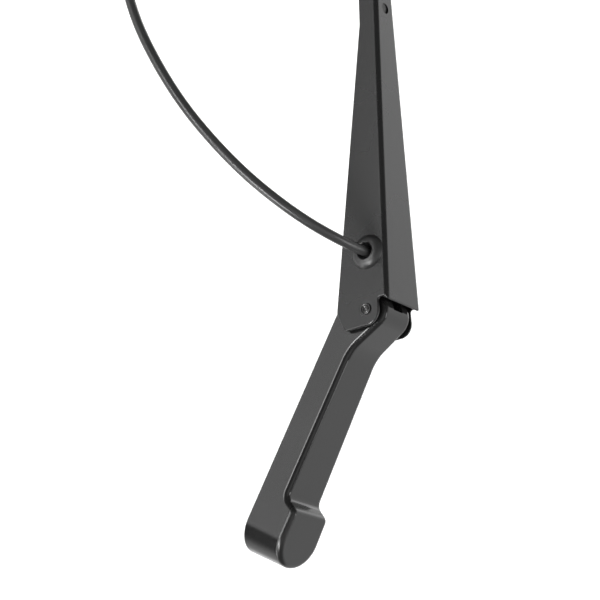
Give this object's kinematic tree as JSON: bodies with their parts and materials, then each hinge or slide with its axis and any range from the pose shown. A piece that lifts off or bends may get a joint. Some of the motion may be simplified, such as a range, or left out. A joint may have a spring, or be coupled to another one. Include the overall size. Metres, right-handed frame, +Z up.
{
  "type": "wiper arm",
  "caption": "Black windscreen wiper arm: cast spindle head, hinged folded channel with an over-centre spring, washer hose and a flat bar ending in a blade hook.",
  "frame": {"origin": "spindle axis at the underside of the cast head", "axes": "+Z up the spindle, +X along the head towards the hinge, +Y towards the wall that the hose leaves"},
  "size_m": [0.54, 0.1307, 0.2481],
  "materials": {
    "head_casting": "semi-gloss black paint on a die casting",
    "cap_plastic": "satin black moulded cover",
    "hinge_rivet": "black paint over a spun steel rivet",
    "bush_plastic": "plain black acetal",
    "pin_steel": "ground steel",
    "link_steel": "phosphated steel",
    "spring_steel": "oiled spring wire",
    "channel_sheet": "semi-gloss black paint on pressed sheet",
    "bar_steel": "semi-gloss black paint on flat bar",
    "grommet_plastic": "satin black moulding",
    "hose_rubber": "satin black extruded hose",
    "jet_plastic": "satin black moulding",
    "nozzle_brass": "turned brass"
  },
  "bodies": {
    "head": {"arm_head": "head_casting", "hinge_bush_near": "bush_plastic", "hinge_bush_far": "bush_plastic", "spring_pin": "pin_steel"},
    "cap": {"nut_cap": "cap_plastic"},
    "link": {"spring_link": "link_steel"},
    "arm": {"arm_channel": "channel_sheet", "arm_bar": "bar_steel", "hinge_pin": "hinge_rivet", "tension_spring": "spring_steel", "hose_grommet": "grommet_plastic", "hose_elbow": "jet_plastic", "washer_hose": "hose_rubber", "feed_hose": "hose_rubber", "spray_jet": "jet_plastic", "spray_nozzle_near": "nozzle_brass", "spray_nozzle_far": "nozzle_brass"}
  },
  "joints": [
    {"name": "arm_hinge", "type": "hinge", "parent": "head", "child": "arm", "pos_m": [0.1426, 0, 0.0213], "axis": [0, -1, 0], "range_deg": [0, 100], "deforming": ["tension_spring"]},
    {"name": "link_hinge", "type": "hinge", "parent": "head", "child": "link", "pos_m": [0.13573, 0, 0.01682], "axis": [0, -1, 0], "range_deg": [0, 96]},
    {"name": "cap_pull", "type": "slide", "parent": "head", "child": "cap", "axis": [0, 0, 1], "range_m": [0, 0.03]}
  ],
  "couplings": [
    {"joint": "link_hinge", "follows": "arm_hinge", "ratio": 0.948}
  ]
}
